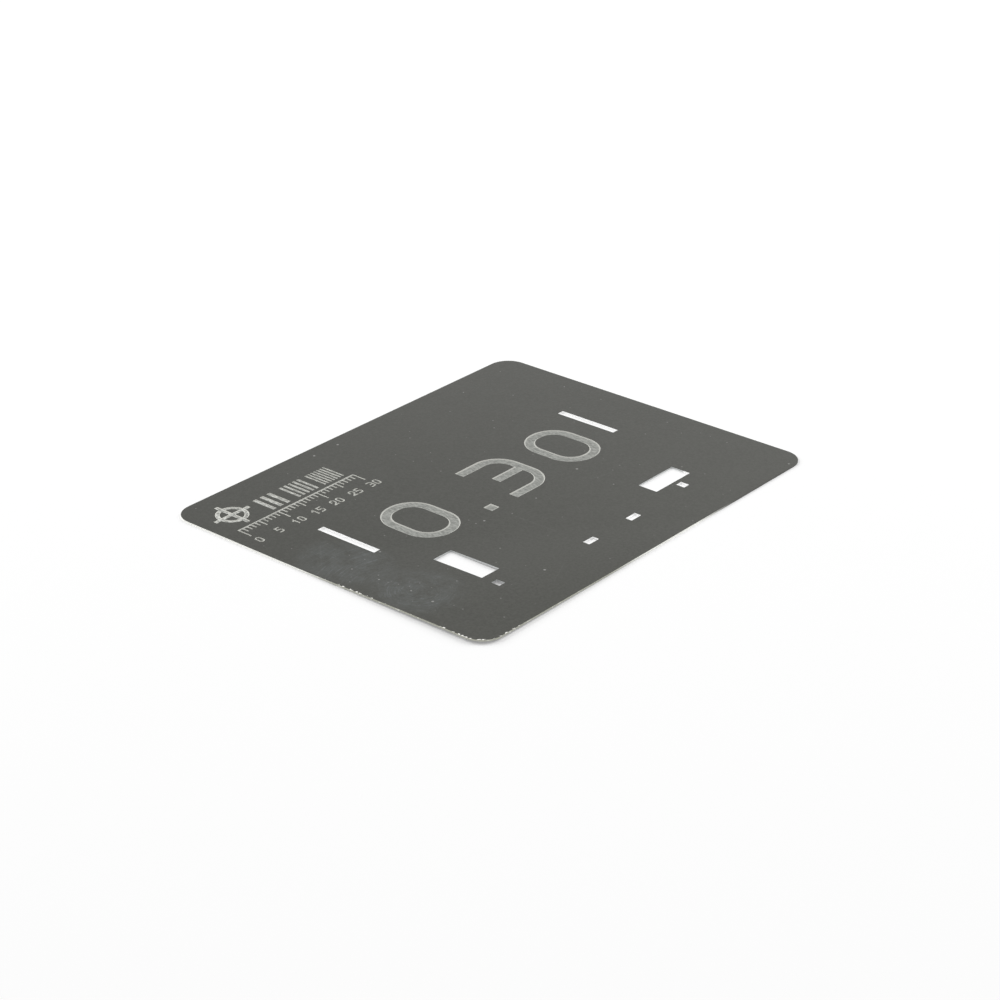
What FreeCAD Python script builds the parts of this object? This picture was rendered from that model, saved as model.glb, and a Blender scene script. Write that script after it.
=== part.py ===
# Solder paste stencil: one thin steel sheet, cut right through where paste or a tall component
# passes, and etched half through for its marks.
#
# Frame: +X to the right along the marks, +Y from the near edge to the far edge, +Z up.
# The origin is under the middle of the sheet, on the surface that it lies on. Millimetres.

import FreeCAD, Part
import math
import os
from FreeCAD import Vector

# ---- the blank ----------------------------------------------------------------------------
SHEET_LENGTH = 95.0          # left edge to right edge
SHEET_WIDTH = 75.0           # near edge to far edge
SHEET_THICKNESS = 0.30
SHEET_CORNER_RADIUS = 4.4

# ---- the near left corner, which has sprung up a little off the table ------------------------
CURL_ALONG_NEAR_EDGE = 62.0  # from the left edge to where the near edge lies flat again
CURL_ALONG_LEFT_EDGE = 48.0  # from the near edge to where the left edge lies flat again
CURL_INNER_REACH = 34.0      # from the left edge to the innermost point that is still lifted
CURL_NUMBER_GAP = 5.3        # from the innermost lifted point up to the large number
CURL_CORNER_LIFT = 0.40      # control heights of the lifted patch
CURL_NEAR_EDGE_LIFT = 0.22
CURL_LEFT_EDGE_LIFT = 0.67
CURL_INNER_LIFT = 1.05

# ---- apertures, cut right through --------------------------------------------------------------
APERTURE_CORNER_RADIUS = 0.12

SLOT_LENGTH = 13.8
SLOT_WIDTH = 1.5
LEFT_SLOT_FROM_LEFT = 13.7       # slot centres, from the sheet's edges
LEFT_SLOT_FROM_NEAR = 43.55
RIGHT_SLOT_FROM_RIGHT = 14.2
RIGHT_SLOT_FROM_NEAR = 42.1

TALL_WINDOW_WIDTH = 4.7
TALL_WINDOW_HEIGHT = 11.2
TALL_WINDOW_FROM_LEFT = 20.0
TALL_WINDOW_FROM_NEAR = 21.25
WIDE_WINDOW_WIDTH = 10.4
WIDE_WINDOW_HEIGHT = 4.2
WIDE_WINDOW_FROM_RIGHT = 25.15
WIDE_WINDOW_FROM_NEAR = 15.2

TEST_HOLE_WIDTH = 1.55           # one small hole just below each window
TEST_HOLE_HEIGHT = 1.85
LEFT_TEST_HOLE_GAP = 2.4         # bottom of the window to top of the hole
LEFT_TEST_HOLE_SHIFT = -1.9      # sideways from the middle of the window
RIGHT_TEST_HOLE_GAP = 1.0
RIGHT_TEST_HOLE_SHIFT = 0.35

PAD_WIDTH = 2.8                  # the pair of low apertures, either side of the middle
PAD_HEIGHT = 1.42
PAD_SPACING = 12.4
PAD_FROM_NEAR = 10.2

# ---- half-etched marks ---------------------------------------------------------------------------
ETCH_DEPTH = 0.12

NUMBER_DECIMALS = 2              # the large number is the sheet's own thickness in millimetres
NUMBER_HEIGHT = 15.4
NUMBER_DIGIT_WIDTH = 11.6
NUMBER_STROKE = 2.1
NUMBER_CORNER_RADIUS = 4.6       # of a stroke's middle line
NUMBER_FLANK = 0.24              # run of the sloping etched flank
NUMBER_LEFT_GAP = 7.6            # from the left slot to the first digit
NUMBER_RIGHT_GAP = 5.3           # from the last digit to the right slot
NUMBER_FROM_NEAR = 31.3

MARKS_FROM_LEFT = 2.9            # the block of setting-out marks in the far left corner
MARKS_FROM_FAR = 4.25
FINE_FLANK = 0.08

TARGET_SPAN = 8.6                # registration target: a ring crossed by two lines
TARGET_RING_DIAMETER = 5.4
TARGET_STROKE = 0.85
TARGET_FLANK = 0.16

GAUGE_GAP = 2.0                  # from the target to the line gauge
GAUGE_HEIGHT = 5.4
GAUGE_LINE_WIDTHS = (0.90, 0.58, 0.40)
GAUGE_LINE_COUNTS = (3, 5, 7)
GAUGE_GROUP_PITCH = 6.8

SCALE_GAP = 0.95                 # from the target to the scale
SCALE_PITCH = 1.0
SCALE_DIVISIONS = 30
SCALE_LINE = 0.32
SCALE_BASE_LINE = 0.42
SCALE_SHORT_TICK = 1.7
SCALE_MIDDLE_TICK = 2.5
SCALE_LONG_TICK = 3.4
SCALE_MIDDLE_EVERY = 5
SCALE_LONG_EVERY = 10

FIGURE_GAP = 1.15                # from the long ticks to the figures
FIGURE_HEIGHT = 2.0
FIGURE_WIDTH = 1.2
FIGURE_STROKE = 0.30
FIGURE_CORNER_RADIUS = 0.40
FIGURE_SPACING = 0.35

# ---- cutters reach this far past the faces that they cut ---------------------------------------
CUT_CLEARANCE = 1.0
ETCH_CLEARANCE = 0.05

LEFT = -SHEET_LENGTH / 2
RIGHT = SHEET_LENGTH / 2
NEAR = -SHEET_WIDTH / 2
FAR = SHEET_WIDTH / 2
UP = Vector(0, 0, 1)

# Each digit is a list of strokes on a box of middle lines, 0 to 1 each way. A stroke is
# (kind, points): "loop" closes on itself, and the other kinds say how the first and the last end
# are cut: s projects square by half a stroke, b stops at its point, inside another stroke. A
# point is (x, y) at a mitred corner and (x, y, True) at a rounded one.
DIGITS = {
    "0": [("loop", [(0, 0, True), (1, 0, True), (1, 1, True), (0, 1, True)])],
    "1": [("ss", [(0.62, 0), (0.62, 1)]),
          ("sb", [(0.15, 0.74), (0.60, 0.95)])],
    "2": [("sb", [(0, 0.64), (0, 1, True), (1, 1, True), (1, 0.5, True), (0.03, 0)]),
          ("ss", [(0, 0), (1, 0)])],
    "3": [("ss", [(0, 1), (1, 1, True), (1, 0, True), (0, 0)]),
          ("sb", [(0.3, 0.5), (1, 0.5)])],
    "4": [("ss", [(0.72, 0), (0.72, 1)]),
          ("bs", [(0.68, 0.97), (0.12, 0.3), (1, 0.3)])],
    "5": [("ss", [(1, 1), (0, 1), (0, 0.56), (1, 0.56, True), (1, 0, True), (0, 0)])],
    "6": [("sb", [(0.9, 1), (0, 1, True), (0, 0, True), (1, 0, True), (1, 0.56, True), (0, 0.56)])],
    "7": [("ss", [(0, 1), (1, 1)]),
          ("bs", [(0.93, 1), (0.32, 0)])],
    "8": [("loop", [(0, 0, True), (1, 0, True), (1, 1, True), (0, 1, True)]),
          ("bb", [(0, 0.52), (1, 0.52)])],
    "9": [("sb", [(0.1, 0), (1, 0, True), (1, 1, True), (0, 1, True), (0, 0.44, True), (1, 0.44)])],
}


# ---- shapes cut right through -------------------------------------------------------------------
def rounded_outline(centre_x, centre_y, width, height, radius):
    """Face in the XY plane: a rectangle with rounded corners."""
    radius = min(radius, 0.49 * min(width, height))
    right, top = centre_x + width / 2, centre_y + height / 2
    left, bottom = centre_x - width / 2, centre_y - height / 2
    reach = radius * math.sqrt(0.5)
    corners = [(right - radius, bottom + radius, 1, -1), (right - radius, top - radius, 1, 1),
               (left + radius, top - radius, -1, 1), (left + radius, bottom + radius, -1, -1)]
    arcs = []
    for x, y, side_x, side_y in corners:
        along_x = Vector(x + side_x * radius, y, 0)
        along_y = Vector(x, y + side_y * radius, 0)
        ends = (along_y, along_x) if side_x * side_y < 0 else (along_x, along_y)
        middle = Vector(x + side_x * reach, y + side_y * reach, 0)
        arcs.append(Part.Arc(ends[0], middle, ends[1]))
    edges = []
    for index, arc in enumerate(arcs):
        following = arcs[(index + 1) % len(arcs)]
        edges.append(arc.toShape())
        edges.append(Part.LineSegment(arc.EndPoint, following.StartPoint).toShape())
    return Part.Face(Part.Wire(edges))


def through_cutter(centre_x, centre_y, width, height):
    """Upright cutter for one aperture, reaching past both faces wherever the sheet is lifted."""
    outline = rounded_outline(centre_x, centre_y, width, height, APERTURE_CORNER_RADIUS)
    outline.translate(Vector(0, 0, -CUT_CLEARANCE))
    return outline.extrude(UP * upright_reach())


def upright_reach():
    """Height that clears the sheet from below its underside to above its highest lift."""
    lift = max(CURL_CORNER_LIFT, CURL_NEAR_EDGE_LIFT, CURL_LEFT_EDGE_LIFT, CURL_INNER_LIFT)
    return SHEET_THICKNESS + lift + 2 * CUT_CLEARANCE


def aperture_cutters():
    """Cutters of the two slots, the two windows, their test holes and the pair of pads."""
    left_slot_x = LEFT + LEFT_SLOT_FROM_LEFT
    right_slot_x = RIGHT - RIGHT_SLOT_FROM_RIGHT
    tall_x, tall_y = LEFT + TALL_WINDOW_FROM_LEFT, NEAR + TALL_WINDOW_FROM_NEAR
    wide_x, wide_y = RIGHT - WIDE_WINDOW_FROM_RIGHT, NEAR + WIDE_WINDOW_FROM_NEAR
    left_hole_y = tall_y - TALL_WINDOW_HEIGHT / 2 - LEFT_TEST_HOLE_GAP - TEST_HOLE_HEIGHT / 2
    right_hole_y = wide_y - WIDE_WINDOW_HEIGHT / 2 - RIGHT_TEST_HOLE_GAP - TEST_HOLE_HEIGHT / 2
    cutters = [
        through_cutter(left_slot_x, NEAR + LEFT_SLOT_FROM_NEAR, SLOT_WIDTH, SLOT_LENGTH),
        through_cutter(right_slot_x, NEAR + RIGHT_SLOT_FROM_NEAR, SLOT_WIDTH, SLOT_LENGTH),
        through_cutter(tall_x, tall_y, TALL_WINDOW_WIDTH, TALL_WINDOW_HEIGHT),
        through_cutter(wide_x, wide_y, WIDE_WINDOW_WIDTH, WIDE_WINDOW_HEIGHT),
        through_cutter(tall_x + LEFT_TEST_HOLE_SHIFT, left_hole_y, TEST_HOLE_WIDTH, TEST_HOLE_HEIGHT),
        through_cutter(wide_x + RIGHT_TEST_HOLE_SHIFT, right_hole_y, TEST_HOLE_WIDTH, TEST_HOLE_HEIGHT),
    ]
    for side in (-1, 1):
        pad_x = side * PAD_SPACING / 2
        cutters.append(through_cutter(pad_x, NEAR + PAD_FROM_NEAR, PAD_WIDTH, PAD_HEIGHT))
    return cutters


# ---- the sheet with its lifted corner -----------------------------------------------------------
def curl_outline():
    """The four corners, on the table, of the patch of sheet that is lifted."""
    return [Vector(LEFT, NEAR, 0),
            Vector(LEFT + CURL_ALONG_NEAR_EDGE, NEAR, 0),
            Vector(LEFT + CURL_INNER_REACH, NEAR + NUMBER_FROM_NEAR - CURL_NUMBER_GAP, 0),
            Vector(LEFT, NEAR + CURL_ALONG_LEFT_EDGE, 0)]


def curl_slab():
    """The lifted patch, one thickness deep: level, and level with the sheet, on its inner sides."""
    corner, along_near, inner, along_left = curl_outline()
    lifts = {(0, 0): CURL_CORNER_LIFT, (1, 0): CURL_NEAR_EDGE_LIFT,
             (0, 1): CURL_LEFT_EDGE_LIFT, (1, 1): CURL_INNER_LIFT}
    degree = 3
    surface = Part.BezierSurface()
    surface.increase(degree, degree)
    for i in range(degree + 1):
        for j in range(degree + 1):
            u, v = i / degree, j / degree
            pole = (corner * ((1 - u) * (1 - v)) + along_near * (u * (1 - v))
                    + inner * (u * v) + along_left * ((1 - u) * v))
            pole.z = lifts.get((i, j), 0)
            surface.setPole(i + 1, j + 1, pole)
    return surface.toShape().extrude(UP * SHEET_THICKNESS)


def corner_cutter():
    """Upright cutter that rounds the outer corner of the lifted patch like the sheet's others."""
    side = SHEET_CORNER_RADIUS + CUT_CLEARANCE
    start = Vector(LEFT, NEAR, 0) - Vector(1, 1, 1) * CUT_CLEARANCE
    centre = Vector(LEFT + SHEET_CORNER_RADIUS, NEAR + SHEET_CORNER_RADIUS, -CUT_CLEARANCE)
    block = Part.makeBox(side, side, upright_reach(), start)
    return block.cut(Part.makeCylinder(SHEET_CORNER_RADIUS, upright_reach(), centre))


def blank():
    """The rounded sheet with no openings, flat but for its lifted corner."""
    outline = rounded_outline(0, 0, SHEET_LENGTH, SHEET_WIDTH, SHEET_CORNER_RADIUS)
    flat = outline.extrude(UP * SHEET_THICKNESS)
    corners = [point - UP * CUT_CLEARANCE for point in curl_outline()]
    lifted_area = Part.Face(Part.makePolygon(corners + corners[:1])).extrude(UP * upright_reach())
    return flat.cut(lifted_area).fuse(curl_slab().cut(corner_cutter()))


# ---- half-etched grooves ------------------------------------------------------------------------
class Groove:
    """Section of an etched line: a flat floor between two sloping flanks."""

    def __init__(self, stroke, flank):
        self.flank = min(flank, 0.4 * stroke)
        self.half = stroke / 2
        self.floor_half = self.half - self.flank
        self.proud = self.flank * ETCH_CLEARANCE / ETCH_DEPTH
        self.floor_z = SHEET_THICKNESS - ETCH_DEPTH
        self.top_z = SHEET_THICKNESS + ETCH_CLEARANCE

    def block(self, floor, top):
        """Solid between a four-cornered floor and the larger four-cornered top above it."""
        def face(points):
            return Part.Face(Part.makePolygon(points + points[:1]))
        sides = [face([floor[i], floor[i - 1], top[i - 1], top[i]]) for i in range(4)]
        return Part.Solid(Part.makeShell([face(floor), face(top)] + sides))

    def pocket(self, left, bottom, right, top):
        """Rectangular pocket, measured where its flanks meet the sheet's face."""
        levels = []
        for grow, z in ((-self.flank, self.floor_z), (self.proud, self.top_z)):
            levels.append([Vector(left - grow, bottom - grow, z), Vector(right + grow, bottom - grow, z),
                           Vector(right + grow, top + grow, z), Vector(left - grow, top + grow, z)])
        return self.block(*levels)

    def section(self, point, along):
        """The groove's section as an upright face across the direction it runs in."""
        across = Vector(-along.y, along.x, 0)
        top_half = self.half + self.proud
        points = [point + across * self.floor_half + UP * self.floor_z,
                  point + across * top_half + UP * self.top_z,
                  point - across * top_half + UP * self.top_z,
                  point - across * self.floor_half + UP * self.floor_z]
        return Part.Face(Part.makePolygon(points + points[:1]))

    def run(self, start, end, start_lean, end_lean):
        """Straight groove. A lean is the tangent of a mitre, or None at an end with its own flank."""
        along = (end - start).normalize()
        across = Vector(-along.y, along.x, 0)
        levels = []
        for half, inset, z in ((self.floor_half, self.flank, self.floor_z),
                               (self.half + self.proud, -self.proud, self.top_z)):
            points = []
            for origin, lean, sense, sides in ((start, start_lean, 1, (1, -1)), (end, end_lean, -1, (-1, 1))):
                for side in sides:
                    shift = inset if lean is None else side * half * lean
                    points.append(origin + along * (sense * shift) + across * (side * half) + UP * z)
            levels.append(points)
        return self.block(*levels)

    def bend(self, point, along, turn, radius):
        """Groove round a rounded corner: the section, turned about the corner's centre."""
        side = math.copysign(1, turn)
        centre = point + Vector(-along.y, along.x, 0) * (side * radius)
        return self.section(point, along).revolve(centre, UP * side, math.degrees(abs(turn)))

    def ring(self, centre, diameter):
        """Groove round a full circle."""
        start = centre + Vector(diameter / 2, 0, 0)
        return self.section(start, Vector(0, 1, 0)).revolve(centre, UP, 360)

    def path(self, points, radii, closed):
        """Groove along straight runs, mitred or rounded where they meet."""
        count = len(points)
        runs = count if closed else count - 1
        along = [(points[(i + 1) % count] - points[i]).normalize() for i in range(runs)]
        length = [(points[(i + 1) % count] - points[i]).Length for i in range(runs)]
        turns, setbacks, used_radii = {}, {}, {}
        for i in range(count):
            if not closed and i in (0, count - 1):
                continue
            before, after = along[i - 1], along[i % runs]
            turn = math.atan2(before.x * after.y - before.y * after.x, before.dot(after))
            room = 0.48 * min(length[i - 1], length[i % runs]) / math.tan(abs(turn) / 2)
            used_radii[i] = min(radii[i], room)
            turns[i] = turn
            setbacks[i] = used_radii[i] * math.tan(abs(turn) / 2)
        pieces = []
        for i in range(runs):
            j = (i + 1) % count
            start = points[i] + along[i] * setbacks.get(i, 0)
            end = points[j] - along[i] * setbacks.get(j, 0)
            leans = []
            for k in (i, j):
                mitre = math.tan(turns[k] / 2) if k in turns and used_radii[k] == 0 else 0
                leans.append(mitre if k in turns else None)
            pieces.append(self.run(start, end, *leans))
            if used_radii.get(j, 0) > 0:
                pieces.append(self.bend(end, along[i], turns[j], used_radii[j]))
        return pieces[0].multiFuse(pieces[1:]).removeSplitter()


def figure(text, left, bottom, width, height, pitch, corner_radius, groove):
    """Grooves of a number, its digits spaced by a pitch from the left, a point taking less room."""
    box_width, box_height = width - 2 * groove.half, height - 2 * groove.half
    solids = []
    cursor = left
    for character in text:
        if character == ".":
            solids.append(groove.pocket(cursor, bottom, cursor + 2 * groove.half, bottom + 2 * groove.half))
            cursor += pitch - width + 2 * groove.half
            continue
        for kind, stroke in DIGITS[character]:
            points, radii = [], []
            for x, y, *rounded in stroke:
                points.append(Vector(cursor + groove.half + x * box_width,
                                     bottom + groove.half + y * box_height, 0))
                radii.append(corner_radius if rounded else 0)
            if kind[0] == "s":
                points[0] += (points[0] - points[1]).normalize() * groove.half
            if kind[1] == "s":
                points[-1] += (points[-1] - points[-2]).normalize() * groove.half
            solids.append(groove.path(points, radii, kind == "loop"))
        cursor += pitch
    return solids


def large_number():
    """The sheet's thickness, spread over the space between the two slots."""
    text = f"{SHEET_THICKNESS:.{NUMBER_DECIMALS}f}"
    left = LEFT + LEFT_SLOT_FROM_LEFT + SLOT_WIDTH / 2 + NUMBER_LEFT_GAP
    right = RIGHT - RIGHT_SLOT_FROM_RIGHT - SLOT_WIDTH / 2 - NUMBER_RIGHT_GAP
    digits = len(text) - 1
    ink = digits * NUMBER_DIGIT_WIDTH + NUMBER_STROKE
    gap = (right - left - ink) / digits
    groove = Groove(NUMBER_STROKE, NUMBER_FLANK)
    return figure(text, left, NEAR + NUMBER_FROM_NEAR, NUMBER_DIGIT_WIDTH, NUMBER_HEIGHT,
                  NUMBER_DIGIT_WIDTH + gap, NUMBER_CORNER_RADIUS, groove)


def target(left, top):
    """Registration target: a ring and the two lines that cross it."""
    groove = Groove(TARGET_STROKE, TARGET_FLANK)
    centre = Vector(left + TARGET_SPAN / 2, top - TARGET_SPAN / 2, 0)
    arm, half = TARGET_SPAN / 2, TARGET_STROKE / 2
    return [groove.ring(centre, TARGET_RING_DIAMETER),
            groove.pocket(centre.x - arm, centre.y - half, centre.x + arm, centre.y + half),
            groove.pocket(centre.x - half, centre.y - arm, centre.x + half, centre.y + arm)]


def line_gauge(left, bottom):
    """Groups of upright lines, each group finer than the one before, as wide as their spaces."""
    pockets = []
    for group, (line, count) in enumerate(zip(GAUGE_LINE_WIDTHS, GAUGE_LINE_COUNTS)):
        groove = Groove(line, FINE_FLANK)
        for index in range(count):
            x = left + group * GAUGE_GROUP_PITCH + 2 * index * line
            pockets.append(groove.pocket(x, bottom, x + line, bottom + GAUGE_HEIGHT))
    return pockets


def scale(left, top):
    """Base line with ticks hanging from it, and a figure under every fifth one."""
    base = Groove(SCALE_BASE_LINE, FINE_FLANK)
    tick = Groove(SCALE_LINE, FINE_FLANK)
    digit = Groove(FIGURE_STROKE, FINE_FLANK)
    half = SCALE_LINE / 2
    length = SCALE_PITCH * SCALE_DIVISIONS
    base_middle = top - SCALE_BASE_LINE / 2
    figure_bottom = top - SCALE_LONG_TICK - FIGURE_GAP - FIGURE_HEIGHT
    solids = [base.pocket(left - half, top - SCALE_BASE_LINE, left + length + half, top)]
    for index in range(SCALE_DIVISIONS + 1):
        x = left + index * SCALE_PITCH
        reach = SCALE_SHORT_TICK
        if index % SCALE_MIDDLE_EVERY == 0:
            reach = SCALE_MIDDLE_TICK
        if index % SCALE_LONG_EVERY == 0:
            reach = SCALE_LONG_TICK
        solids.append(tick.pocket(x - half, top - reach, x + half, base_middle))
        if index % SCALE_MIDDLE_EVERY == 0:
            text = str(index)
            pitch = FIGURE_WIDTH + FIGURE_SPACING
            start = x - (pitch * len(text) - FIGURE_SPACING) / 2
            solids += figure(text, start, figure_bottom, FIGURE_WIDTH, FIGURE_HEIGHT, pitch,
                             FIGURE_CORNER_RADIUS, digit)
    return solids


def setting_out_marks():
    """Target, line gauge and scale, stacked in the far left corner."""
    left = LEFT + MARKS_FROM_LEFT
    top = FAR - MARKS_FROM_FAR
    target_bottom = top - TARGET_SPAN
    return (target(left, top)
            + line_gauge(left + TARGET_SPAN + GAUGE_GAP, target_bottom)
            + scale(left + FIGURE_WIDTH / 2, target_bottom - SCALE_GAP))


def stencil_sheet():
    """The finished sheet: blank, apertures and half-etched marks."""
    sheet = blank().cut(aperture_cutters())
    sheet = sheet.cut(large_number() + setting_out_marks())
    return sheet.removeSplitter()


def main():
    """Build the sheet and write it."""
    os.makedirs("parts", exist_ok=True)
    sheet = stencil_sheet()
    solid = sheet.Solids[0]
    box = solid.BoundBox
    print(f"solids {len(sheet.Solids)}, valid {solid.isValid()}, faces {len(solid.Faces)}")
    print(f"volume {solid.Volume:.1f} mm3, box {box.XLength:.3f} x {box.YLength:.3f} x {box.ZLength:.3f} mm")
    solid.exportStep("parts/stencil_sheet.step")


main()
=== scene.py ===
"""A half-etched solder paste stencil lying on a pale table.

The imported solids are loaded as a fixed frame. The steel sheet keeps its own solid and gets a
worked finish: dark coating, bright half-etched marks, bare cut edges and the wear of use. Metres.
"""

import logging
import math
from dataclasses import dataclass, field
from enum import Enum
from typing import Union

import bpy
from mathutils import Matrix, Vector


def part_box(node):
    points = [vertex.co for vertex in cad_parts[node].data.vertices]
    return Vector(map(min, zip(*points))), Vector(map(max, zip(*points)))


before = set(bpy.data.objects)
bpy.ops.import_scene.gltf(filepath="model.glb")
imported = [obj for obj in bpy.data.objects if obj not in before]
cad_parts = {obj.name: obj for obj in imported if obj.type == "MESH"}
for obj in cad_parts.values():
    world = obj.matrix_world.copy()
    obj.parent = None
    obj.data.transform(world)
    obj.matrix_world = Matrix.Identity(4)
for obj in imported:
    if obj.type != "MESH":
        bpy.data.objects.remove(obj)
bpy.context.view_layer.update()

MM = 0.001
SHEET_NODE = "stencil_sheet"

Socket = bpy.types.NodeSocket
Feed = Union[float, Socket]
Colour = tuple[float, float, float]
Paint = Union[Socket, Colour]
Stretch = tuple[float, float, float]
Pair = tuple[float, float]

log = logging.getLogger("stencil")


class Blend(Enum):
    """How one layer of a colour is laid over the layer below."""

    OVER = "MIX"
    LIGHTEN = "ADD"


class MixPorts(Enum):
    """Lower, upper and result sockets of a Mix node, for each kind of value that it joins."""

    VALUE = (2, 3, 0)
    COLOUR = (6, 7, 2)


class Output(Enum):
    """Node that closes a tree."""

    MATERIAL = "ShaderNodeOutputMaterial"
    WORLD = "ShaderNodeOutputWorld"


@dataclass(frozen=True)
class Fade:
    """A smooth change: where it starts and ends, and the results up to the start and from the end."""

    start: float
    end: float
    low: float = 0.0
    high: float = 1.0


@dataclass(frozen=True)
class Grain:
    """Soft noise: size of one patch in metres, finer octaves to add, and the strength of those."""

    patch: float
    octaves: float
    strength: float


@dataclass(frozen=True)
class Dots:
    """Scattered dots: size of a cell, radius of the largest dot, and share of the cells with one."""

    spacing: float
    radius: float
    share: float
    soft_rim: float = 0.4


@dataclass(frozen=True)
class Oval:
    """A patch on the sheet: its centre, and half its length along and across the sheet."""

    centre: Pair
    reach: Pair


@dataclass(frozen=True)
class Stroke:
    """A straight mark on the sheet, from one point to another."""

    start: Pair
    end: Pair


class Graph:
    """One node tree, with short ways to add the nodes that the finishes use."""

    def __init__(self, owner: Union[bpy.types.Material, bpy.types.World]) -> None:
        """Start an empty tree.

        Args:
            owner: The material or world that the tree belongs to.
        """
        owner.use_nodes = True
        self.tree = owner.node_tree
        self.tree.nodes.clear()

    def node(self, kind: str, **settings: object) -> bpy.types.Node:
        """Add a node.

        Args:
            kind: Identifier of the kind of node.
            **settings: Values for the node's own settings.

        Returns:
            The new node.
        """
        made = self.tree.nodes.new(kind)
        for setting, value in settings.items():
            setattr(made, setting, value)
        return made

    def feed(self, value: Union[Feed, Colour, Stretch], socket: Socket) -> None:
        """Link a socket into an input, or set the input to a plain value.

        Args:
            value: The socket, number, colour or vector.
            socket: The input.
        """
        if isinstance(value, Socket):
            self.tree.links.new(value, socket)
        elif isinstance(value, tuple) and socket.type == "RGBA":
            socket.default_value = (*value, 1.0)
        else:
            socket.default_value = value

    def math(self, operation: str, first: Feed, second: Feed = 0.0, clamp: bool = False) -> Socket:
        """Add a Math node.

        Args:
            operation: The node's operation.
            first: First value.
            second: Second value, where the operation has one.
            clamp: Whether the result is kept between 0 and 1.

        Returns:
            The result.
        """
        made = self.node("ShaderNodeMath", operation=operation, use_clamp=clamp)
        self.feed(first, made.inputs[0])
        self.feed(second, made.inputs[1])
        return made.outputs[0]

    def product(self, *values: Feed) -> Socket:
        """Multiply two or more values.

        Args:
            *values: The values.

        Returns:
            The result.
        """
        result = values[0]
        for value in values[1:]:
            result = self.math("MULTIPLY", result, value)
        return result

    def squares(self, first: Socket, second: Socket) -> Socket:
        """Add the squares of two values."""
        return self.math("ADD", self.product(first, first), self.product(second, second))

    def ease(self, value: Feed, fade: Fade) -> Socket:
        """Turn a value smoothly from low to high.

        Args:
            value: The value that steers the change.
            fade: Where the change lies, and the results before and after it.

        Returns:
            The result.
        """
        made = self.node("ShaderNodeMapRange", interpolation_type="SMOOTHSTEP", clamp=True)
        for index, number in enumerate((value, fade.start, fade.end, fade.low, fade.high)):
            self.feed(number, made.inputs[index])
        return made.outputs[0]

    def mix(self, share: Feed, below: Union[Feed, Colour], above: Union[Feed, Colour],
            ports: MixPorts, **settings: object) -> Socket:
        """Add a Mix node.

        Args:
            share: How much of the upper value is taken, 0 to 1.
            below: Lower value.
            above: Upper value.
            ports: The sockets that go with the kind of value.
            **settings: The node's own settings.

        Returns:
            The result.
        """
        made = self.node("ShaderNodeMix", **settings)
        lower, upper, result = ports.value
        self.feed(share, made.inputs["Factor"])
        self.feed(below, made.inputs[lower])
        self.feed(above, made.inputs[upper])
        return made.outputs[result]

    def layer(self, share: Feed, below: Paint, above: Paint, blend: Blend = Blend.OVER) -> Socket:
        """Lay one colour over another."""
        return self.mix(share, below, above, MixPorts.COLOUR, data_type="RGBA", blend_type=blend.value)

    def between(self, share: Feed, below: Feed, above: Feed) -> Socket:
        """Turn from one value to another as the share goes from 0 to 1."""
        return self.mix(share, below, above, MixPorts.VALUE, data_type="FLOAT")

    def split(self, vector: Socket) -> tuple[Socket, Socket, Socket]:
        """Part a vector.

        Args:
            vector: The vector or colour.

        Returns:
            Its three parts.
        """
        made = self.node("ShaderNodeSeparateXYZ")
        self.feed(vector, made.inputs[0])
        return made.outputs[0], made.outputs[1], made.outputs[2]

    def scaled(self, vector: Socket, stretch: Stretch) -> Socket:
        """Scale a pattern's coordinates.

        Args:
            vector: Coordinates to start from.
            stretch: Scale along each axis.

        Returns:
            The new coordinates.
        """
        made = self.node("ShaderNodeMapping")
        self.feed(vector, made.inputs["Vector"])
        self.feed(stretch, made.inputs["Scale"])
        return made.outputs[0]

    def noise(self, vector: Socket, grain: Grain) -> Socket:
        """Add soft noise.

        Args:
            vector: Coordinates.
            grain: Make-up of the noise.

        Returns:
            The noise, 0 to 1.
        """
        made = self.node("ShaderNodeTexNoise")
        self.feed(vector, made.inputs["Vector"])
        self.feed(1.0 / grain.patch, made.inputs["Scale"])
        self.feed(grain.octaves, made.inputs["Detail"])
        self.feed(grain.strength, made.inputs["Roughness"])
        return made.outputs[0]

    def around(self, x: Socket, y: Socket, centre: Pair, turn_length: float) -> Socket:
        """Give coordinates that run out from a centre and round it.

        Args:
            x: Place along the sheet.
            y: Place across the sheet.
            centre: The centre, on the sheet.
            turn_length: Length that one radian round the centre counts as, in metres.

        Returns:
            A vector of the distance out and the way round.
        """
        out_x = self.math("SUBTRACT", x, centre[0])
        out_y = self.math("SUBTRACT", y, centre[1])
        joined = self.node("ShaderNodeCombineXYZ")
        self.feed(self.math("SQRT", self.squares(out_x, out_y)), joined.inputs[0])
        self.feed(self.product(self.math("ARCTAN2", out_y, out_x), turn_length), joined.inputs[1])
        return joined.outputs[0]

    def line(self, x: Socket, y: Socket, stroke: Stroke, width: float) -> Socket:
        """Draw one thin straight line that fades over the last sixth of its length at each end.

        Args:
            x: Place along the sheet.
            y: Place across the sheet.
            stroke: Where the line starts and ends.
            width: Width of the line, in metres.

        Returns:
            1 on the line and 0 elsewhere.
        """
        run = Vector(stroke.end) - Vector(stroke.start)
        way = run.normalized()
        out_x = self.math("SUBTRACT", x, stroke.start[0])
        out_y = self.math("SUBTRACT", y, stroke.start[1])
        along = self.math("ADD", self.product(out_x, way.x), self.product(out_y, way.y))
        aside = self.math("SUBTRACT", self.product(out_x, way.y), self.product(out_y, way.x))
        near = self.ease(self.math("ABSOLUTE", aside), Fade(width, 0.0))
        from_middle = self.math("ABSOLUTE", self.math("SUBTRACT", along, run.length / 2))
        return self.product(near, self.ease(from_middle, Fade(run.length / 2, run.length / 3)))

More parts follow.
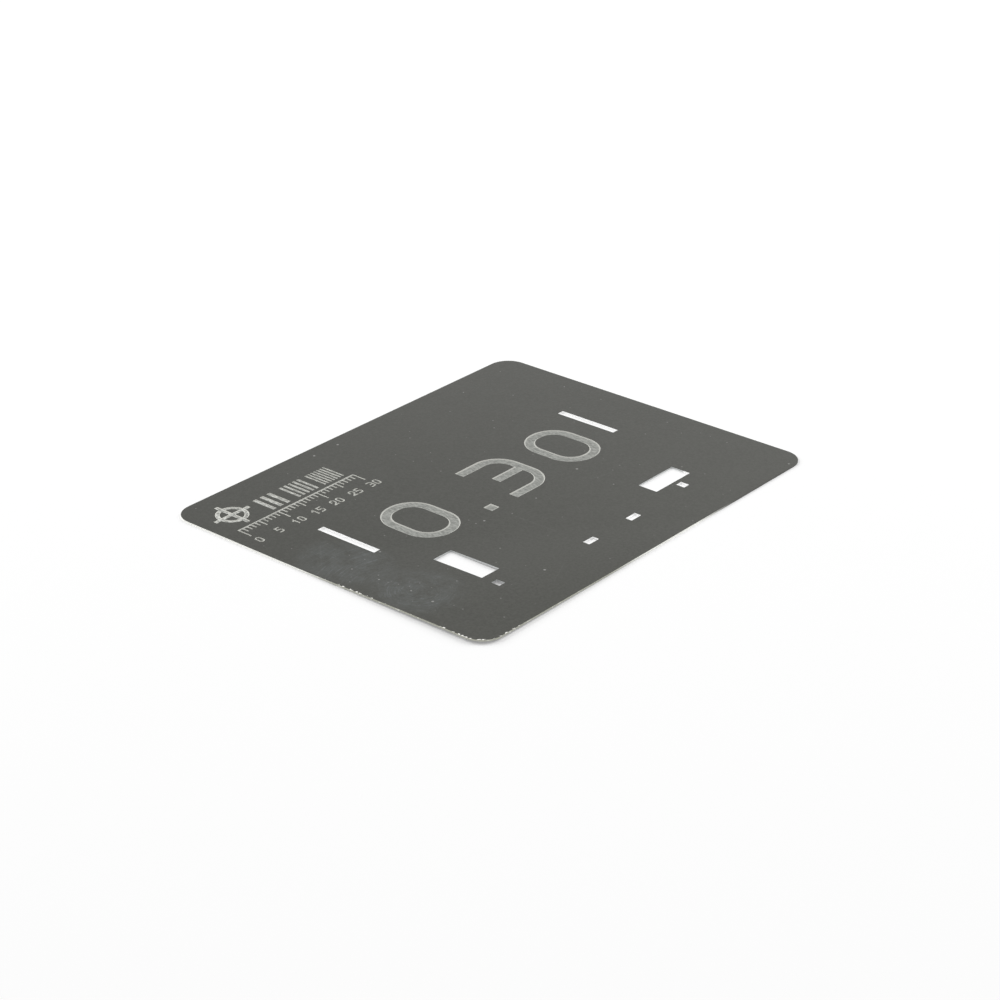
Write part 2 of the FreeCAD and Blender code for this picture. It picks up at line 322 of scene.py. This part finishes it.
    def shade(self, x: Socket, y: Socket, oval: Oval, rim: Fade) -> Socket:
        """Shade one soft oval patch.

        Args:
            x: Place along the sheet.
            y: Place across the sheet.
            oval: The patch.
            rim: How it fades, by the square of the distance out as a share of the reach.

        Returns:
            1 at the centre, falling to 0 at the rim.
        """
        along = self.math("DIVIDE", self.math("SUBTRACT", x, oval.centre[0]), oval.reach[0])
        across = self.math("DIVIDE", self.math("SUBTRACT", y, oval.centre[1]), oval.reach[1])
        return self.ease(self.squares(along, across), rim)

    def specks(self, vector: Socket, dots: Dots) -> Socket:
        """Scatter small dots over the plane, one at most in each cell of a random net.

        Args:
            vector: Coordinates.
            dots: Size and number of the dots.

        Returns:
            1 in a dot and 0 elsewhere.
        """
        made = self.node("ShaderNodeTexVoronoi", voronoi_dimensions="2D", feature="F1")
        self.feed(vector, made.inputs["Vector"])
        self.feed(1.0 / dots.spacing, made.inputs["Scale"])
        chance, size, _ = self.split(made.outputs["Color"])
        chosen = self.math("LESS_THAN", chance, dots.share)
        largest = dots.radius / dots.spacing
        inside = self.math("SUBTRACT", self.product(size, largest), made.outputs["Distance"])
        return self.product(chosen, self.ease(inside, Fade(0.0, dots.soft_rim * largest)))

    def metal(self, colour: Socket, metallic: Feed, roughness: Feed, height: Socket,
              relief: float) -> Socket:
        """Add the shader of a metal surface.

        Args:
            colour: Base colour.
            metallic: Share of metal.
            roughness: Roughness.
            height: Relief of the surface, 0 to 1.
            relief: Depth that a height of 1 stands for, in metres.

        Returns:
            The shader.
        """
        shader = self.node("ShaderNodeBsdfPrincipled")
        bump = self.node("ShaderNodeBump")
        self.feed(relief, bump.inputs["Distance"])
        self.feed(height, bump.inputs["Height"])
        self.feed(bump.outputs[0], shader.inputs["Normal"])
        self.feed(colour, shader.inputs["Base Color"])
        self.feed(metallic, shader.inputs["Metallic"])
        self.feed(roughness, shader.inputs["Roughness"])
        return shader.outputs[0]

    def close(self, shader: Socket, output: Output = Output.MATERIAL) -> None:
        """Link a shader to the tree's output."""
        self.feed(shader, self.node(output.value).inputs["Surface"])


@dataclass(frozen=True)
class Spot:
    """Sockets that say where on the sheet a point lies."""

    whole: Socket
    height: Socket
    from_left: Socket
    from_near: Socket
    inward: Socket


@dataclass(frozen=True)
class DarkCoating:
    """Thin dark satin coating of the two faces, grained, faintly clouded, and paler to one side by a
    painted sheen.

    The two sheen pairs are what the painted sheen adds to the mottle at the two ends of a change along
    and across the sheet. The change across reaches its own reach field times half the width.
    """

    dark: Colour = (0.0530, 0.0537, 0.0462)
    light: Colour = (0.0775, 0.0783, 0.0692)
    metallic: float = 0.9
    roughness: float = 0.36
    grain: Grain = Grain(0.50 * MM, 4.0, 0.7)
    grain_range: Fade = Fade(0.3, 0.7)
    grain_share: float = 0.7
    grain_height: float = 0.12
    cloud: Grain = Grain(9.0 * MM, 3.0, 0.6)
    cloud_share: float = 0.3
    # painted sheen: lightness added to the coating's colour in place of the lamps' reflection
    painted_sheen_along: Pair = (-0.14, 0.20)
    painted_sheen_across: Pair = (0.14, -0.17)
    painted_sheen_across_reach: float = 1.5


@dataclass(frozen=True)
class EtchedSteel:
    """Steel laid bare where the marks are etched: a streaky floor between bright flanks."""

    floor_dark: Colour = (0.190, 0.194, 0.181)
    floor_light: Colour = (0.335, 0.341, 0.320)
    fine_floor: Colour = (0.60, 0.605, 0.575)
    flank: Colour = (0.455, 0.455, 0.43)
    fine_flank: Colour = (0.54, 0.54, 0.51)
    roughness: float = 0.55
    flank_roughness: float = 0.82
    streak: Grain = Grain(0.28 * MM, 3.0, 0.6)
    streak_range: Fade = Fade(0.3, 0.7)
    streak_stretch: Stretch = (1.0, 1.0 / 3.0, 1.0)


@dataclass(frozen=True)
class BareEdge:
    """Cut walls of bare steel.

    The outline is bright, with painted shade round the worn corner, and darker at the other end of the
    near edge, partly from coating left on the wall and partly from painted shade. The walls of the
    windows carry painted shade and those of the narrow cuts painted light, as shaded and lit copies of
    the same bare steel.
    """

    bright: Colour = (0.930, 0.930, 0.890)
    # a shaded copy of the bare wall: painted shade for the window walls
    window: Colour = (0.58, 0.59, 0.59)
    # a lit copy of the bare wall: painted light for the narrow cuts
    narrow_cut_painted_light: Colour = (0.99, 0.99, 0.985)
    # painted shade on the outline wall round the near corner
    painted_corner_shade: Colour = (0.470, 0.472, 0.412)
    # darker wall at the right end of the near edge: coating left on it, with painted shade
    coating_and_painted_shade: Colour = (0.125, 0.122, 0.115)
    metallic: float = 1.0
    roughness: float = 0.50
    patch: Grain = Grain(0.9 * MM, 3.0, 0.6)
    patch_range: Fade = Fade(0.72, 0.55, 0.45, 1.0)


@dataclass(frozen=True)
class HandlingWear:
    """Marks of use on the faces and along the edge.

    They are a rubbed haze with grit and round scratches, single scratches, dust, and flecks of
    coating chipped off the edge.
    """

    haze: Colour = (0.0205, 0.0245, 0.0275)
    haze_patches: Grain = Grain(3.2 * MM, 4.0, 0.7)
    haze_range: Fade = Fade(0.25, 0.70)
    haze_rim: Fade = Fade(1.0, 0.1)
    rub: Colour = (0.040, 0.045, 0.049)
    rub_lines: Grain = Grain(0.34 * MM, 4.0, 0.75)
    rub_range: Fade = Fade(0.50, 0.64)
    rub_turn_length: float = 6.0 * MM
    rub_stretch: Stretch = (1.0, 0.10, 1.0)
    scratch: Colour = (0.020, 0.021, 0.021)
    scratch_width: float = 0.22 * MM
    dust: Colour = (0.26, 0.26, 0.25)
    grit: Dots = Dots(1.3 * MM, 0.17 * MM, 0.30)
    grit_share: float = 0.6
    fine_dust: Dots = Dots(2.4 * MM, 0.21 * MM, 0.16)
    fine_dust_share: float = 0.55
    coarse_dust: Dots = Dots(7.0 * MM, 0.30 * MM, 0.26)
    chip: Colour = (0.82, 0.81, 0.78)
    chip_grain: Grain = Grain(0.80 * MM, 3.0, 0.55)
    chip_range: Fade = Fade(0.0, 0.10)
    chip_reach: float = 0.30 * MM
    chip_rim: Fade = Fade(0.0, 0.05 * MM)
    chip_height: float = 0.9


@dataclass
class StencilSheet:
    """The steel sheet: where its faces, marks and edges lie, and the finish that each one gets.

    Places are measured from the sheet's left and near edges. wall_below and level_above part the
    surfaces by the upward share of their normal.
    """

    thickness: float = 0.30 * MM
    etch_depth: float = 0.12 * MM
    corner_radius: float = 4.4 * MM
    relief: float = 0.05 * MM
    wall_below: float = 0.3
    level_above: float = 0.97
    chips_along_left: Fade = Fade(44.0 * MM, 36.0 * MM)
    chips_along_near: Fade = Fade(16.0 * MM, 3.0 * MM)
    chips_from_corner: Fade = Fade(4.0 * MM, 16.0 * MM, 0.50, 0.61)
    chips_from_knock: Fade = Fade(3.0 * MM, 7.0 * MM, 0.49, 0.62)
    knocked_along_left: float = 30.0 * MM
    # reach of the painted shade on the outline wall round the near corner
    painted_corner_shade_along_left: Fade = Fade(44.0 * MM, 32.0 * MM)
    painted_corner_shade_along_near: Fade = Fade(46.0 * MM, 32.0 * MM)
    # reach of the darker right end of the near edge wall: coating left on it, with painted shade
    coating_and_painted_shade_from_left: Fade = Fade(58.0 * MM, 72.0 * MM)
    coating_and_painted_shade_from_near: Fade = Fade(5.0 * MM, 2.0 * MM)
    # openings between these from the near edge get the painted shade copy of the wall, the rest the
    # painted light copy
    painted_shade_cuts_start: Fade = Fade(24.0 * MM, 25.0 * MM, 11.2 * MM, 14.6 * MM)
    painted_shade_cuts_end: float = 34.0 * MM
    fine_marks_reach: Pair = (40.0 * MM, 52.0 * MM)
    rubbed: tuple[Oval, Oval] = (
        Oval((7.0 * MM, 21.0 * MM), (9.0 * MM, 10.0 * MM)),
        Oval((7.0 * MM, 38.0 * MM), (9.0 * MM, 11.0 * MM)),
    )
    scratches: tuple[Stroke, ...] = (
        Stroke((40.2 * MM, 13.5 * MM), (40.0 * MM, 30.5 * MM)),
        Stroke((49.2 * MM, 18.6 * MM), (50.4 * MM, 20.6 * MM)),
        Stroke((3.0 * MM, 40.0 * MM), (9.5 * MM, 46.5 * MM)),
        Stroke((24.0 * MM, 5.0 * MM), (31.0 * MM, 8.2 * MM)),
        Stroke((60.5 * MM, 26.0 * MM), (66.0 * MM, 24.5 * MM)),
    )
    coating: DarkCoating = field(default_factory=DarkCoating)
    etched: EtchedSteel = field(default_factory=EtchedSteel)
    edge: BareEdge = field(default_factory=BareEdge)
    wear: HandlingWear = field(default_factory=HandlingWear)

    def __post_init__(self) -> None:
        """Read the sheet's outline from its solid."""
        low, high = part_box(SHEET_NODE)
        self.half_length = (high.x - low.x) / 2
        self.half_width = (high.y - low.y) / 2

    def dress(self) -> bpy.types.Object:
        """Give the sheet its finish.

        Returns:
            The sheet's object.
        """
        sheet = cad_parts[SHEET_NODE]
        material = self.steel()
        for slot in sheet.material_slots:
            slot.material = material
        return sheet

    def steel(self) -> bpy.types.Material:
        """Make the finish of the whole sheet.

        Returns:
            The material.
        """
        material = bpy.data.materials.new("coated_etched_steel")
        graph = Graph(material)
        spot = self.spot(graph)
        upward = graph.split(graph.node("ShaderNodeNewGeometry").outputs["True Normal"])[2]
        wall = graph.math("LESS_THAN", graph.math("ABSOLUTE", upward), self.wall_below)
        level = graph.math("GREATER_THAN", upward, self.level_above)
        flank = graph.product(graph.math("GREATER_THAN", upward, self.wall_below),
                              graph.math("SUBTRACT", 1.0, level))
        floor_top = self.thickness - self.etch_depth / 2
        floor = graph.product(level, graph.math("LESS_THAN", spot.height, floor_top),
                              graph.math("GREATER_THAN", spot.height, floor_top / 2))
        etched = graph.math("ADD", floor, flank, clamp=True)
        fine_marks = graph.product(graph.math("LESS_THAN", spot.from_left, self.fine_marks_reach[0]),
                                   graph.math("GREATER_THAN", spot.from_near, self.fine_marks_reach[1]))
        chips = self.chips(graph, spot)
        bare_edge = graph.math("MAXIMUM", chips, wall)

        colour, grain = self.coated_face(graph, spot)
        colour = graph.layer(floor, colour, self.etched_floor(graph, spot, fine_marks))
        flank_colour = graph.layer(fine_marks, self.etched.flank, self.etched.fine_flank)
        colour = graph.layer(flank, colour, flank_colour)
        colour = graph.layer(chips, colour, self.wear.chip)
        colour = graph.layer(wall, colour, self.cut_wall(graph, spot))

        roughness = graph.between(floor, self.coating.roughness, self.etched.roughness)
        roughness = graph.between(flank, roughness, self.etched.flank_roughness)
        roughness = graph.between(bare_edge, roughness, self.edge.roughness)
        metallic = graph.between(graph.math("MAXIMUM", etched, bare_edge), self.coating.metallic,
                                 self.edge.metallic)
        height = graph.math("ADD", graph.product(grain, self.coating.grain_height),
                            graph.product(chips, self.wear.chip_height))
        graph.close(graph.metal(colour, metallic, roughness, height, self.relief))
        return material

    def spot(self, graph: Graph) -> Spot:
        """Measure where a point lies on the sheet, and how far inside its rounded outline.

        Args:
            graph: The tree to add to.

        Returns:
            The sockets.
        """
        whole = graph.node("ShaderNodeTexCoord").outputs["Object"]
        x, y, z = graph.split(whole)
        radius = self.corner_radius
        past_x = graph.math("SUBTRACT", graph.math("ABSOLUTE", x), self.half_length - radius)
        past_y = graph.math("SUBTRACT", graph.math("ABSOLUTE", y), self.half_width - radius)
        out_x = graph.math("MAXIMUM", past_x, 0.0)
        out_y = graph.math("MAXIMUM", past_y, 0.0)
        corner = graph.math("SQRT", graph.squares(out_x, out_y))
        side = graph.math("MINIMUM", graph.math("MAXIMUM", past_x, past_y), 0.0)
        return Spot(whole=whole, height=z,
                    from_left=graph.math("ADD", x, self.half_length),
                    from_near=graph.math("ADD", y, self.half_width),
                    inward=graph.math("SUBTRACT", radius, graph.math("ADD", corner, side)))

    def chips(self, graph: Graph, spot: Spot) -> Socket:
        """Lay out the flecks where the coating has come off the edge.

        They lie along the left edge and just round the near corner, thickest at the corner and
        round one knock.

        Args:
            graph: The tree to add to.
            spot: Place on the sheet.

        Returns:
            1 on a fleck and 0 elsewhere.
        """
        along_left = graph.ease(spot.from_near, self.chips_along_left)
        along_near = graph.ease(spot.from_left, self.chips_along_near)
        from_corner = graph.math("ADD", spot.from_left, spot.from_near)
        from_knock = graph.math("ABSOLUTE",
                                graph.math("SUBTRACT", spot.from_near, self.knocked_along_left))
        start = graph.math("MINIMUM", graph.ease(from_corner, self.chips_from_corner),
                           graph.ease(from_knock, self.chips_from_knock))
        fleck = graph.noise(spot.whole, self.wear.chip_grain)
        deep = graph.ease(graph.math("SUBTRACT", fleck, start), self.wear.chip_range)
        reach = graph.product(deep, along_left, along_near, self.wear.chip_reach)
        return graph.ease(graph.math("SUBTRACT", reach, spot.inward), self.wear.chip_rim)

    def coated_face(self, graph: Graph, spot: Spot) -> tuple[Socket, Socket]:
        """Colour the coating with its grain, a painted sheen, haze, scratches and dust.

        Args:
            graph: The tree to add to.
            spot: Place on the sheet.

        Returns:
            The colour, and the fine grain that gives the coating its tooth.
        """
        coating, wear = self.coating, self.wear
        grain = graph.noise(spot.whole, coating.grain)
        cloud = graph.noise(spot.whole, coating.cloud)
        mottle = graph.math("ADD",
                            graph.product(graph.ease(grain, coating.grain_range), coating.grain_share),
                            graph.product(cloud, coating.cloud_share))
        # painted sheen: paler towards the right end and the near edge, darker towards the far edge, in
        # place of reflected light
        along = Fade(0.0, 2 * self.half_length, *coating.painted_sheen_along)
        across = Fade(0.0, coating.painted_sheen_across_reach * self.half_width, *coating.painted_sheen_across)
        painted_sheen = graph.math("ADD", graph.ease(spot.from_left, along), graph.ease(spot.from_near, across))
        colour = graph.layer(graph.math("ADD", mottle, painted_sheen), coating.dark, coating.light)

        haze = self.rubbed_haze(graph, spot)
        colour = graph.layer(haze, colour, wear.haze, Blend.LIGHTEN)
        centre = self.rubbed[0].centre
        rounds = graph.around(spot.from_left, spot.from_near, centre, wear.rub_turn_length)
        lines = graph.noise(graph.scaled(rounds, wear.rub_stretch), wear.rub_lines)
        rub = graph.product(graph.ease(lines, wear.rub_range), haze)
        colour = graph.layer(rub, colour, wear.rub, Blend.LIGHTEN)
        grit = graph.product(graph.specks(spot.whole, wear.grit), haze, wear.grit_share)
        colour = graph.layer(grit, colour, wear.dust)
        for stroke in self.scratches:
            scratch = graph.line(spot.from_left, spot.from_near, stroke, wear.scratch_width)
            colour = graph.layer(graph.product(scratch, grain), colour, wear.scratch, Blend.LIGHTEN)

        fine_dust = graph.product(graph.specks(spot.whole, wear.fine_dust), wear.fine_dust_share)
        colour = graph.layer(fine_dust, colour, wear.dust)
        colour = graph.layer(graph.specks(spot.whole, wear.coarse_dust), colour, wear.dust)
        return colour, grain

    def rubbed_haze(self, graph: Graph, spot: Spot) -> Socket:
        """Shade the rubbed patches, broken up by noise.

        Args:
            graph: The tree to add to.
            spot: Place on the sheet.

        Returns:
            The strength of the haze, 0 to 1.
        """
        first, second = (graph.shade(spot.from_left, spot.from_near, oval, self.wear.haze_rim)
                         for oval in self.rubbed)
        broken = graph.ease(graph.noise(spot.whole, self.wear.haze_patches), self.wear.haze_range)
        return graph.product(graph.math("ADD", first, second, clamp=True), broken)

    def etched_floor(self, graph: Graph, spot: Spot, fine_marks: Socket) -> Socket:
        """Colour the floor of the marks with the fine streaks that etching leaves.

        Args:
            graph: The tree to add to.
            spot: Place on the sheet.
            fine_marks: 1 in the block of fine marks, which is etched brighter, and 0 elsewhere.

        Returns:
            The colour.
        """
        along = graph.scaled(spot.whole, self.etched.streak_stretch)
        streaks = graph.ease(graph.noise(along, self.etched.streak), self.etched.streak_range)
        light = graph.layer(fine_marks, self.etched.floor_light, self.etched.fine_floor)
        return graph.layer(streaks, self.etched.floor_dark, light)

    def cut_wall(self, graph: Graph, spot: Spot) -> Socket:
        """Colour the cut walls, of the sheet's outline and of its openings, with painted shade and
        painted light over the bare steel.

        Args:
            graph: The tree to add to.
            spot: Place on the sheet.

        Returns:
            The colour.
        """
        patchy = graph.noise(spot.whole, self.edge.patch)
        # painted shade on the outline wall round the near corner, broken up in patches
        painted_corner_shade_share = graph.product(graph.ease(spot.from_near, self.painted_corner_shade_along_left),
                               graph.ease(spot.from_left, self.painted_corner_shade_along_near),
                               graph.ease(patchy, self.edge.patch_range))
        # darker wall at the right end of the near edge: coating left on it, with painted shade
        coating_and_painted_shade = graph.product(graph.ease(spot.from_left, self.coating_and_painted_shade_from_left),
                                graph.ease(spot.from_near, self.coating_and_painted_shade_from_near))
        outline = graph.layer(painted_corner_shade_share, self.edge.bright, self.edge.painted_corner_shade)
        outline = graph.layer(coating_and_painted_shade, outline, self.edge.coating_and_painted_shade)
        # window walls and the test hole get the painted shade copy of the wall, the narrow cuts the
        # painted light copy
        painted_shade_start = graph.ease(spot.from_left, self.painted_shade_cuts_start)
        painted_shade_cuts = graph.product(graph.math("GREATER_THAN", spot.from_near, painted_shade_start),
                               graph.math("LESS_THAN", spot.from_near, self.painted_shade_cuts_end))
        opening = graph.layer(painted_shade_cuts, self.edge.narrow_cut_painted_light, self.edge.window)
        inside = graph.math("GREATER_THAN", spot.inward, self.corner_radius / 4)
        return graph.layer(inside, outline, opening)


@dataclass
class Studio:
    """Pale table, soft light from all round, and the camera."""

    table_size: float = 6.0
    table_colour: Colour = (0.93, 0.93, 0.93)
    shown_colour: Colour = (1.0, 1.0, 1.0)
    backlit_share: float = 0.26
    sky_colour: Colour = (1.0, 1.0, 1.0)
    sky_strength: float = 0.42
    shown_strength: float = 1.0
    lamp_size: float = 1.8
    lamp_power: float = 50.2
    lamp_places: tuple[Vector, ...] = (Vector((2.35, -0.55, 1.50)), Vector((-0.35, 2.4, 1.50)))
    aim: Vector = field(default_factory=lambda: Vector((-4.240, -4.426, 0.30)) * MM)
    distance: float = 454.88 * MM
    azimuth: float = math.radians(-49.995)
    elevation: float = math.radians(26.532)
    roll: float = math.radians(0.112)
    focal_length: float = 88.885
    sensor_width: float = 36.0
    clip_start: float = 10.0 * MM

    def seen_share(self, graph: Graph) -> Socket:
        """Tell the rays that show a surface from those that light others.

        Args:
            graph: The tree to add to.

        Returns:
            1 for rays from the camera, a gloss or a clear body, and 0 for the rest.
        """
        path = graph.node("ShaderNodeLightPath").outputs
        seen = graph.math("MAXIMUM", path["Is Camera Ray"], path["Is Glossy Ray"])
        return graph.math("MAXIMUM", seen, path["Is Transmission Ray"])

    def table(self) -> bpy.types.Object:
        """Lay the table top under the sheet: pale, and softly lit from below.

        Returns:
            The table's object.
        """
        bpy.ops.mesh.primitive_plane_add(size=self.table_size, location=(0.0, 0.0, 0.0))
        top = bpy.context.object
        top.name = "table_top"
        material = bpy.data.materials.new("pale_table")
        graph = Graph(material)
        seen = self.seen_share(graph)
        lit = graph.node("ShaderNodeBsdfDiffuse")
        graph.feed(graph.layer(seen, self.table_colour, self.shown_colour), lit.inputs["Color"])
        glow = graph.node("ShaderNodeEmission")
        joined = graph.node("ShaderNodeMixShader")
        parts = (graph.product(seen, self.backlit_share), lit.outputs[0], glow.outputs[0])
        for index, part in enumerate(parts):
            graph.feed(part, joined.inputs[index])
        graph.close(joined.outputs[0])
        top.data.materials.append(material)
        return top

    def sky(self) -> bpy.types.World:
        """Surround the table with even white light.

        Returns:
            The world.
        """
        world = bpy.data.worlds.new("white_surround")
        bpy.context.scene.world = world
        graph = Graph(world)
        background = graph.node("ShaderNodeBackground")
        strength = graph.between(self.seen_share(graph), self.sky_strength, self.shown_strength)
        graph.feed(strength, background.inputs["Strength"])
        graph.feed(self.sky_colour, background.inputs["Color"])
        graph.close(background.outputs[0], Output.WORLD)
        return world

    def lamp(self, place: Vector, name: str) -> bpy.types.Object:
        """Hang one wide soft lamp, facing the sheet.

        Args:
            place: Where the lamp hangs.
            name: Name of the lamp.

        Returns:
            The lamp's object.
        """
        light = bpy.data.lights.new(name, "AREA")
        light.shape = "SQUARE"
        light.size = self.lamp_size
        light.energy = self.lamp_power
        lamp = bpy.data.objects.new(name, light)
        bpy.context.scene.collection.objects.link(lamp)
        lamp.location = place
        lamp.rotation_euler = place.to_track_quat("Z", "Y").to_euler()
        return lamp

    def camera(self) -> bpy.types.Object:
        """Set up the camera, looking down on the near left corner.

        Returns:
            The camera's object.
        """
        lens = bpy.data.cameras.new("camera")
        lens.sensor_width = self.sensor_width
        lens.lens = self.focal_length
        lens.clip_start = self.clip_start
        camera = bpy.data.objects.new("camera", lens)
        bpy.context.scene.collection.objects.link(camera)
        turn = (Matrix.Rotation(self.azimuth, 4, "Z")
                @ Matrix.Rotation(math.pi / 2 - self.elevation, 4, "X")
                @ Matrix.Rotation(self.roll, 4, "Z"))
        backward = turn @ Vector((0.0, 0.0, self.distance))
        camera.matrix_world = Matrix.Translation(self.aim + backward) @ turn
        bpy.context.scene.camera = camera
        return camera

    def set_up(self) -> None:
        """Build the whole studio."""
        bpy.context.scene.view_settings.view_transform = "Standard"
        lamps = [self.lamp(place, f"softbox_{index}") for index, place in enumerate(self.lamp_places, 1)]
        for made in (self.table(), self.sky(), *lamps, self.camera()):
            log.info("studio: %s", made.name)


def main() -> None:
    """Dress the sheet, set up the studio and note the sizes."""
    logging.basicConfig(level=logging.INFO, format="%(name)s: %(message)s")
    sheet = StencilSheet().dress()
    log.info("piece: %s, %d faces", sheet.name, len(sheet.data.polygons))
    Studio().set_up()


if __name__ == "__main__":
    main()
